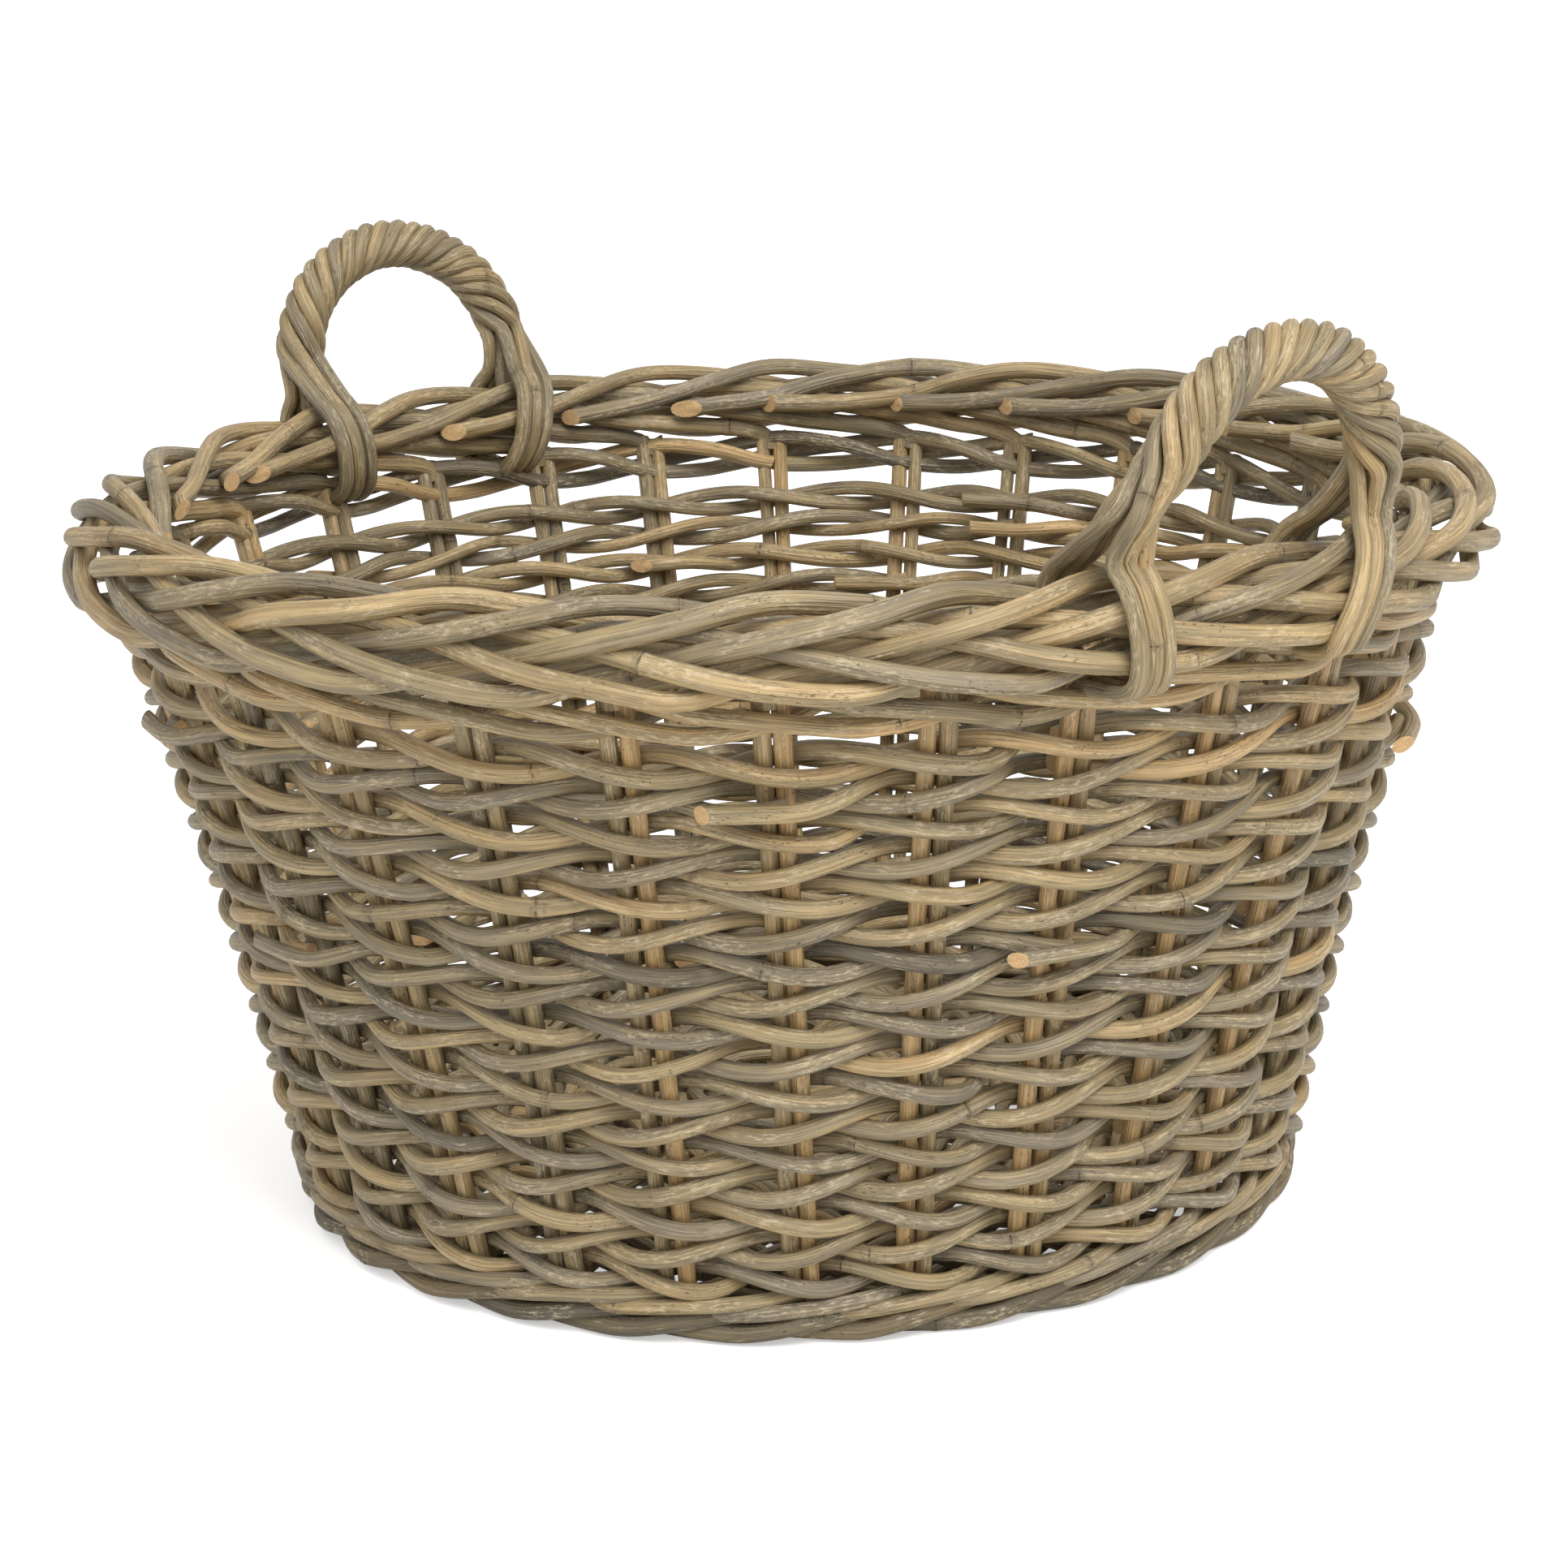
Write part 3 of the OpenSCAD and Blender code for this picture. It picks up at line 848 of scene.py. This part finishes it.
def make_foot():
    """One cane from each stake pair, laid out along the floor and over the next canes."""
    bundle = Bundle()
    for k in range(STAKE_PAIRS):
        curve = smooth_path(np.array(FOOT_WAY) * FOOT_STRETCH, 8) / FOOT_STRETCH
        turn = turn_at(curve[:, 0] + k, np.zeros(len(curve)))
        r = foot_r + curve[:, 1] * MM + out_of_round(turn)
        path = round_basket(turn, r, curve[:, 2] * MM)
        lay_cane(bundle, path, FOOT_D * draw.uniform(0.94, 1.0), pick_shade(-0.05), (10, 30), 14)
    make_piece("foot_border_canes", bundle, foot_cane, cut_end, "foot_cane",
               "foot_border_lower", "foot_border_upper")


# --- Base -------------------------------------------------------------------

# Way between two sticks where they cross, and from the base's middle plane to their axes
STICK_PITCH = 7.9 * MM
STICK_LEVEL = STICK_PITCH / 2
# Half the width of the crossing, with room for the first row round it
cross_half = STICKS_EACH_WAY / 2 * STICK_PITCH + STAKE_D
# From a base row's circle to its outside, and how far its canes swing in and out of the circle
BASE_ROW_OUTSIDE = 3.5 * MM
BASE_ROW_SWING = 3.4 * MM


def stick_lift(r):
    """Height of a stick's axis off the base's middle plane at distance r from the centre."""
    return STICK_LEVEL * (1 - np.clip((r - cross_half) / (base_edge_r - cross_half), 0, 1))


def make_base_sticks():
    """Seven sticks each way cross in the middle and fan out to the stake pairs."""
    for node, quarter, level in (("base_sticks_across", 0, -1), ("base_sticks_along", 1, 1)):
        bundle = Bundle()
        for j in range(STICKS_EACH_WAY):
            side = j - (STICKS_EACH_WAY - 1) / 2
            x = np.linspace(-base_edge_r, base_edge_r, 121)
            fan = side * PAIR_TURN
            bend = smooth((np.abs(x) - 0.6 * cross_half) / (0.9 * cross_half))
            y = side * STICK_PITCH * (1 - bend) + bend * np.sin(fan) * np.abs(x)
            x = x * (1 - bend) + bend * x * math.cos(fan)
            z = base_z + level * stick_lift(np.hypot(x, y))
            flat = np.stack([x, y, z], axis=1)
            if quarter:
                flat = flat[:, [1, 0, 2]] * [-1, 1, 1]
            lay_cane(bundle, flat, STAKE_D * draw.uniform(0.92, 1.0), pick_shade(0.1), (10, 10),
                     gap=8 * MM)
        make_piece(node.replace("sticks", "stick_canes"), bundle, stake_cane, cut_end,
                   "stake_cane", node)


def make_base_rows():
    """Twining round the sticks: in groups near the middle, then one stick at a time."""
    for i, node in enumerate(base_nodes):
        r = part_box(node)[1].x - BASE_ROW_OUTSIDE
        group = STICKS_EACH_WAY if i < 2 else 2 if i < 4 else 1
        bundle = Bundle()
        for strand in (0, 1):
            u = np.arange(0, STAKE_PAIRS + 0.3, 0.05)
            shift = STICKS_EACH_WAY / 2 if group == STICKS_EACH_WAY else 0.5 * (group - 1)
            way = math.pi * ((u + shift) / group + strand)
            flat = np.sin(way) * 1.25
            over = np.cos(way)
            if group == STICKS_EACH_WAY:
                over = np.clip(over * 2.2, -1, 1)
            lift = over * (STAKE_D / 2 + BASE_WEAVER_D / 2 + 0.4 * MM)
            across = np.clip(np.cos(2 * u * PAIR_TURN) * 3, -1, 1)
            lift = lift - across * stick_lift(r) * (0.9 if group == STICKS_EACH_WAY else 0.6)
            reach = r + np.clip(flat, -1, 1) * BASE_ROW_SWING * (1 if i % 2 else -1)
            path = round_basket(u * PAIR_TURN, reach, base_z + lift)
            lay_cane(bundle, path, BASE_WEAVER_D * draw.uniform(0.95, 1.03), pick_shade(0.0),
                     (20, 40), 10)
        make_piece(node.replace("weave", "row") + "_weavers", bundle, weaver_cane, cut_end,
                   "weaver_cane", node)


# --- Handles ----------------------------------------------------------------

STRANDS = 6
# Turns of the rope from one end of the bow to the other
STRAND_TURNS = 19 / 6
# How much higher each bow stands than the frame's
HANDLE_TALLER = {"right": 3.0 * MM, "left": -3.0 * MM}
# From the bow's middle line to the axes of the canes wound round it
ROPE_R = 8.8 * MM
BOW_LEAN = math.radians(12)
# Outline of the border that a handle's cane follows from the bow down to under the border, as
# (out, up) in border widths and the share of the way in from the bow's leg to the foot
OUTER_FOOT = [
    (1.3, 2.6, 0.12), (1.95, 1.5, 0.3), (2.35, 0.35, 0.52), (2.55, -0.8, 0.76), (2.5, -2.0, 1),
    (2.15, -2.6, 1), (1.2, -2.8, 1), (0.02, -2.8, 1)
]
INNER_FOOT = [
    (-0.95, 2.7, 0.12), (-1.95, 1.75, 0.33), (-2.45, 0.5, 0.6), (-2.5, -0.95, 0.8),
    (-2.1, -2.1, 1), (-1.2, -2.75, 1), (-0.02, -2.8, 1)
]
# From that outline to the axis of the cane
FOOT_REACH = STRAND_D / 2 + 0.5 * MM
# Where the feet of each handle stand along the border, at the +Y leg and at the other leg
FEET_AT = {"right": (34 * MM, -70 * MM), "left": (56 * MM, -47 * MM)}
# How far the other leg of each bow spreads toward its foot, from how far above the bow's
# middle, and over what height
LEG_SPREAD = {"right": 25 * MM, "left": 0.0}
SPREAD_FROM = 28 * MM
SPREAD_OVER = 42 * MM
# Way between two canes of a handle's foot
STRAND_PITCH = 7.2 * MM
# From the frame's border middle out to the ends of a core rod
CORE_END_OUT = 2 * MM

core_low, core_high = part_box("handle_core_right")
bow_r = core_high.y - CORE_D / 2
bow_x = core_high.x - CORE_D / 2 - bow_r * math.sin(BOW_LEAN)
bow_z = core_high.z - CORE_D / 2 - bow_r * math.cos(BOW_LEAN)
bow_start = -math.asin(min(1.0, (bow_z - core_low.z - 4 * MM) / bow_r))


def bow_point(angle):
    """Point on the bow's middle line; angle 0 is the +Y leg and half a turn the other leg."""
    height = bow_r * np.sin(angle)
    return np.stack([
        bow_x + height * math.sin(BOW_LEAN),
        bow_r * np.cos(angle),
        bow_z + height * math.cos(BOW_LEAN),
    ], axis=-1)


def bow_outward(angle):
    """Way out from the middle of the bow's circle."""
    return np.stack([
        np.sin(angle) * math.sin(BOW_LEAN), np.cos(angle), np.sin(angle) * math.cos(BOW_LEAN)
    ], axis=-1)


# Way across the bow's plane, out from the basket
bow_across = np.array([math.cos(BOW_LEAN), 0, -math.sin(BOW_LEAN)])


def spread_leg(path, hand):
    """The bow's other leg leans out along the border from a little above the bow's middle."""
    drop = (bow_z + SPREAD_FROM - path[:, 2]) / SPREAD_OVER
    path[:, 1] -= LEG_SPREAD[hand] * smooth(drop) * (path[:, 1] < 0)
    return path


def foot_points(way, leg_y, foot_y, side):
    """Points down one side of the border, for the cane number side of one leg."""
    points = []
    for out, up, share in way:
        spot = np.array([out, up])
        spot = spot * (1 + FOOT_REACH / BORDER_WIDTH / np.linalg.norm(spot))
        y = leg_y * (1 - share) + foot_y * share + side * STRAND_PITCH
        r = border_r + spot[0] * BORDER_WIDTH
        points.append((math.sqrt(r * r - foot_y**2), y, border_height(spot[1])))
    return points


def lay_handle(bundle, hand):
    """Six canes wound round the core; their ends go down and round under the border."""
    near_foot, far_foot = FEET_AT[hand]
    share = np.linspace(0, 1, 45)
    angle = bow_start + (math.pi - 2 * bow_start) * share
    # The turns are closer over the top than at the legs, and a little uneven
    tight = share - 0.045 * np.sin(2 * math.pi * share)
    tight = tight + 0.012 * np.sin(4 * math.pi * share + draw.uniform(0, 6))
    tight = (tight - tight[0]) / (tight[-1] - tight[0])
    for s in range(STRANDS):
        turn = 2 * math.pi * ((s + 0.5) / STRANDS + STRAND_TURNS * tight)
        rope = bow_point(angle) + ROPE_R * (
            np.cos(turn)[:, None] * bow_outward(angle) + np.sin(turn)[:, None] * bow_across
        )
        side = [1, 0, -1][s % 3] if s < 3 else [-1, 0, 1][s % 3]
        foot = OUTER_FOOT if s < 3 else INNER_FOOT
        points = (
            foot_points(foot, bow_r, near_foot, side)[::-1]
            + spread_leg(rope, hand)[2:-2].tolist()
            + foot_points(foot, -bow_r - 0.35 * LEG_SPREAD[hand], far_foot, -side)
        )
        path = handle_place(smooth_path(points, 8), hand)
        lay_cane(bundle, path, STRAND_D * draw.uniform(0.96, 1.04), pick_shade(0.05), (0, 0), 14,
                 4 * MM)


def handle_place(path, hand):
    """Puts a path drawn for the +X side in its hand's place and height."""
    rise = smooth((path[:, 2] - border_z) / (core_high.z - border_z))
    path = path + np.outer(rise, [0, 0, HANDLE_TALLER[hand]])
    return path if hand == "right" else path * [-1, -1, 1]


def make_handles():
    """Each handle's wound canes, and the core rod inside them."""
    for hand in ("right", "left"):
        bundle = Bundle()
        lay_handle(bundle, hand)
        make_piece(f"handle_{hand}_wound_canes", bundle, handle_cane, cut_end, "handle_cane",
                   f"handle_wrap_{hand}", f"handle_feet_{hand}")
        bundle = Bundle()
        bend = spread_leg(bow_point(np.linspace(bow_start, math.pi - bow_start, 40)), hand)
        end_r = border_r + CORE_END_OUT
        leg = [(end_r, bow_r * 0.93, border_z - 8 * MM)]
        other = [(end_r, -bow_r * 0.93 - 0.25 * LEG_SPREAD[hand], border_z)]
        path = handle_place(smooth_path(leg + bend[:-4].tolist() + other, 6), hand)
        lay_cane(bundle, path, CORE_D, pick_shade(0.0), (0, 0), 14)
        make_piece(f"handle_{hand}_core_rod", bundle, handle_cane, cut_end, "handle_cane",
                   f"handle_core_{hand}")


# --- Stage ------------------------------------------------------------------

CAMERA_TURN = math.radians(51.5)
CAMERA_RISE = math.radians(10.8)
CAMERA_FROM_RIM = 1.7
CAMERA_ROLL = math.radians(1.7)
CAMERA_LENS = 85.5
RIM_MIDDLE = Vector((0, 0, 0.31))
# Height that the camera looks at, and how far to the right of the basket's axis
LOOK_AT_Z = 0.182
LOOK_ASIDE = -1.0 * MM
FLOOR_WIDTH = 30


def from_middle(turn, rise, distance):
    """Point at a distance from the rim's middle, at a turn round it and a rise above it."""
    return RIM_MIDDLE + distance * Vector(
        (math.sin(turn) * math.cos(rise), -math.cos(turn) * math.cos(rise), math.sin(rise))
    )


def make_camera():
    """Camera outside the rim, looking a little down at the basket."""
    lens = bpy.data.cameras.new("view")
    lens.sensor_width = 36
    lens.lens = CAMERA_LENS
    camera = bpy.data.objects.new("view", lens)
    bpy.context.scene.collection.objects.link(camera)
    camera.location = from_middle(CAMERA_TURN, CAMERA_RISE, CAMERA_FROM_RIM)
    right = Vector((math.cos(CAMERA_TURN), math.sin(CAMERA_TURN), 0))
    aim = Vector((0, 0, LOOK_AT_Z)) + LOOK_ASIDE * right
    level = (aim - camera.location).to_track_quat("-Z", "Y")
    camera.rotation_mode = "QUATERNION"
    camera.rotation_quaternion = level @ Quaternion((0, 0, 1), -CAMERA_ROLL)
    bpy.context.scene.camera = camera


def add_soft_light(name, turn, rise, distance, width, power):
    """Square lamp aimed at the rim's middle; turn and rise are in degrees, power in watts."""
    light = bpy.data.lights.new(name, "AREA")
    light.size = width
    light.energy = power
    lamp = bpy.data.objects.new(name, light)
    bpy.context.scene.collection.objects.link(lamp)
    lamp.location = from_middle(math.radians(turn), math.radians(rise), distance)
    lamp.rotation_mode = "QUATERNION"
    lamp.rotation_quaternion = (RIM_MIDDLE - lamp.location).to_track_quat("-Z", "Y")


def make_stage():
    """Pale floor, white room and two soft lamps."""
    bpy.ops.object.select_all(action="DESELECT")
    bpy.ops.mesh.primitive_plane_add(size=FLOOR_WIDTH)
    floor = bpy.context.object
    floor.name = "floor"
    paint, tree, shader = blank_material("floor_paint")
    shader.inputs["Base Color"].default_value = linear(244, 244, 243)
    shader.inputs["Roughness"].default_value = 0.9
    shader.inputs["Specular IOR Level"].default_value = 0.1
    shader.inputs["Emission Color"].default_value = (1, 1, 1, 1)
    # The floor and the room look whiter than the light they give
    seen = add_node(tree, "ShaderNodeLightPath").outputs["Is Camera Ray"]
    tree.links.new(math_node(tree, "MULTIPLY", seen, 0.45), shader.inputs["Emission Strength"])
    floor.data.materials.append(paint)
    world = bpy.data.worlds.new("studio")
    world.use_nodes = True
    sky = world.node_tree.nodes["Background"]
    sky.inputs[0].default_value = (1, 1, 1, 1)
    seen = add_node(world.node_tree, "ShaderNodeLightPath").outputs["Is Camera Ray"]
    bright = math_node(world.node_tree, "MULTIPLY_ADD", seen, 0.26, 0.74)
    world.node_tree.links.new(bright, sky.inputs[1])
    bpy.context.scene.world = world
    add_soft_light("key", turn=82, rise=50, distance=2.6, width=1.8, power=64)
    add_soft_light("fill", turn=10, rise=35, distance=3.0, width=2.0, power=16)
    bpy.context.scene.view_settings.view_transform = "Standard"


make_camera()
make_stakes()
make_rows()
make_wales()
make_border()
make_foot()
make_base_sticks()
make_base_rows()
make_handles()
make_stage()
